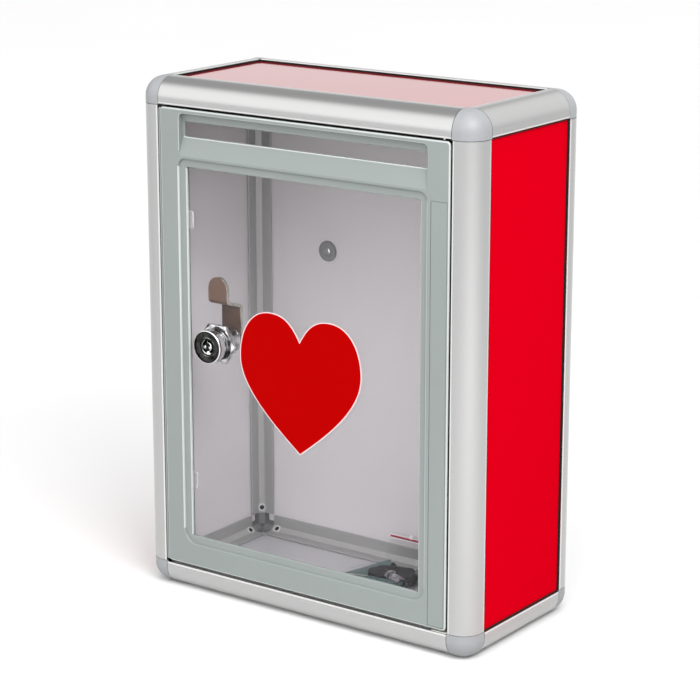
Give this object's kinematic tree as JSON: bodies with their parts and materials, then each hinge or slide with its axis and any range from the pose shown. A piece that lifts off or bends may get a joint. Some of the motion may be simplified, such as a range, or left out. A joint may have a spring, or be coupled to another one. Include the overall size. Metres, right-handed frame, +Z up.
{
  "type": "donation box",
  "caption": "Wall or table donation box with rounded aluminium edges, red sides, a deposit slot, and a clear locking door with a heart.",
  "frame": {"origin": "centre of the footprint, on the plane that the box stands on", "axes": "+Z up, the door faces -Y, +X to the right as seen from the front"},
  "size_m": [0.227, 0.1094, 0.3],
  "materials": {
    "anodised_aluminium": "satin anodised",
    "corner_plastic": "moulded, bluish grey",
    "red_sheet": "glossy red outside, pale grey inside",
    "pale_sheet": "pale grey, satin",
    "door_plastic": "moulded, grey-green, fine texture",
    "clear_acrylic": "clear, polished",
    "red_vinyl": "self-adhesive vinyl",
    "chrome": "bright plated",
    "black_enamel": "black coated metal",
    "zinc_steel": "zinc plated",
    "nylon": "natural nylon",
    "clear_polythene": "thin clear film"
  },
  "bodies": {
    "cabinet": {"front_left_post": "anodised_aluminium", "front_right_post": "anodised_aluminium", "rear_left_post": "anodised_aluminium", "rear_right_post": "anodised_aluminium", "bottom_front_rail": "anodised_aluminium", "bottom_rear_rail": "anodised_aluminium", "top_front_rail": "anodised_aluminium", "top_rear_rail": "anodised_aluminium", "bottom_left_rail": "anodised_aluminium", "bottom_right_rail": "anodised_aluminium", "top_left_rail": "anodised_aluminium", "top_right_rail": "anodised_aluminium", "corner_bottom_front_left": "corner_plastic", "corner_bottom_front_right": "corner_plastic", "corner_bottom_rear_left": "corner_plastic", "corner_bottom_rear_right": "corner_plastic", "corner_top_front_left": "corner_plastic", "corner_top_front_right": "corner_plastic", "corner_top_rear_left": "corner_plastic", "corner_top_rear_right": "corner_plastic", "left_panel": "red_sheet", "right_panel": "red_sheet", "top_panel": "red_sheet", "bottom_panel": "pale_sheet", "back_panel": "pale_sheet", "wall_grommet_left": "corner_plastic", "wall_grommet_right": "corner_plastic", "hinge_bush_lower": "nylon", "hinge_bush_upper": "nylon", "door_stop_lower": "nylon", "door_stop_upper": "nylon", "fixings_bag": "clear_polythene"},
    "door": {"door_frame": "door_plastic", "hinge_cover_strip": "door_plastic", "window_pane": "clear_acrylic", "heart_sticker": "red_vinyl", "pane_clip_left_lower": "nylon", "pane_clip_left_upper": "nylon", "pane_clip_right_lower": "nylon", "pane_clip_right_upper": "nylon", "clip_screw_left_lower": "zinc_steel", "clip_screw_left_upper": "zinc_steel", "clip_screw_right_lower": "zinc_steel", "clip_screw_right_upper": "zinc_steel", "hinge_pin_lower": "zinc_steel", "hinge_pin_upper": "zinc_steel", "lock_housing": "chrome", "lock_nut": "chrome"},
    "lock_rotor": {"lock_plug": "black_enamel", "lock_cam": "zinc_steel", "cam_screw": "zinc_steel"}
  },
  "joints": [
    {"name": "door_hinge", "type": "hinge", "parent": "cabinet", "child": "door", "pos_m": [0.0925, -0.05, 0.15], "axis": [0, 0, 1], "range_deg": [0, 115]},
    {"name": "lock_turn", "type": "hinge", "parent": "door", "child": "lock_rotor", "pos_m": [-0.0645, -0.05, 0.1503], "axis": [0, -1, 0], "range_deg": [0, 90]}
  ]
}
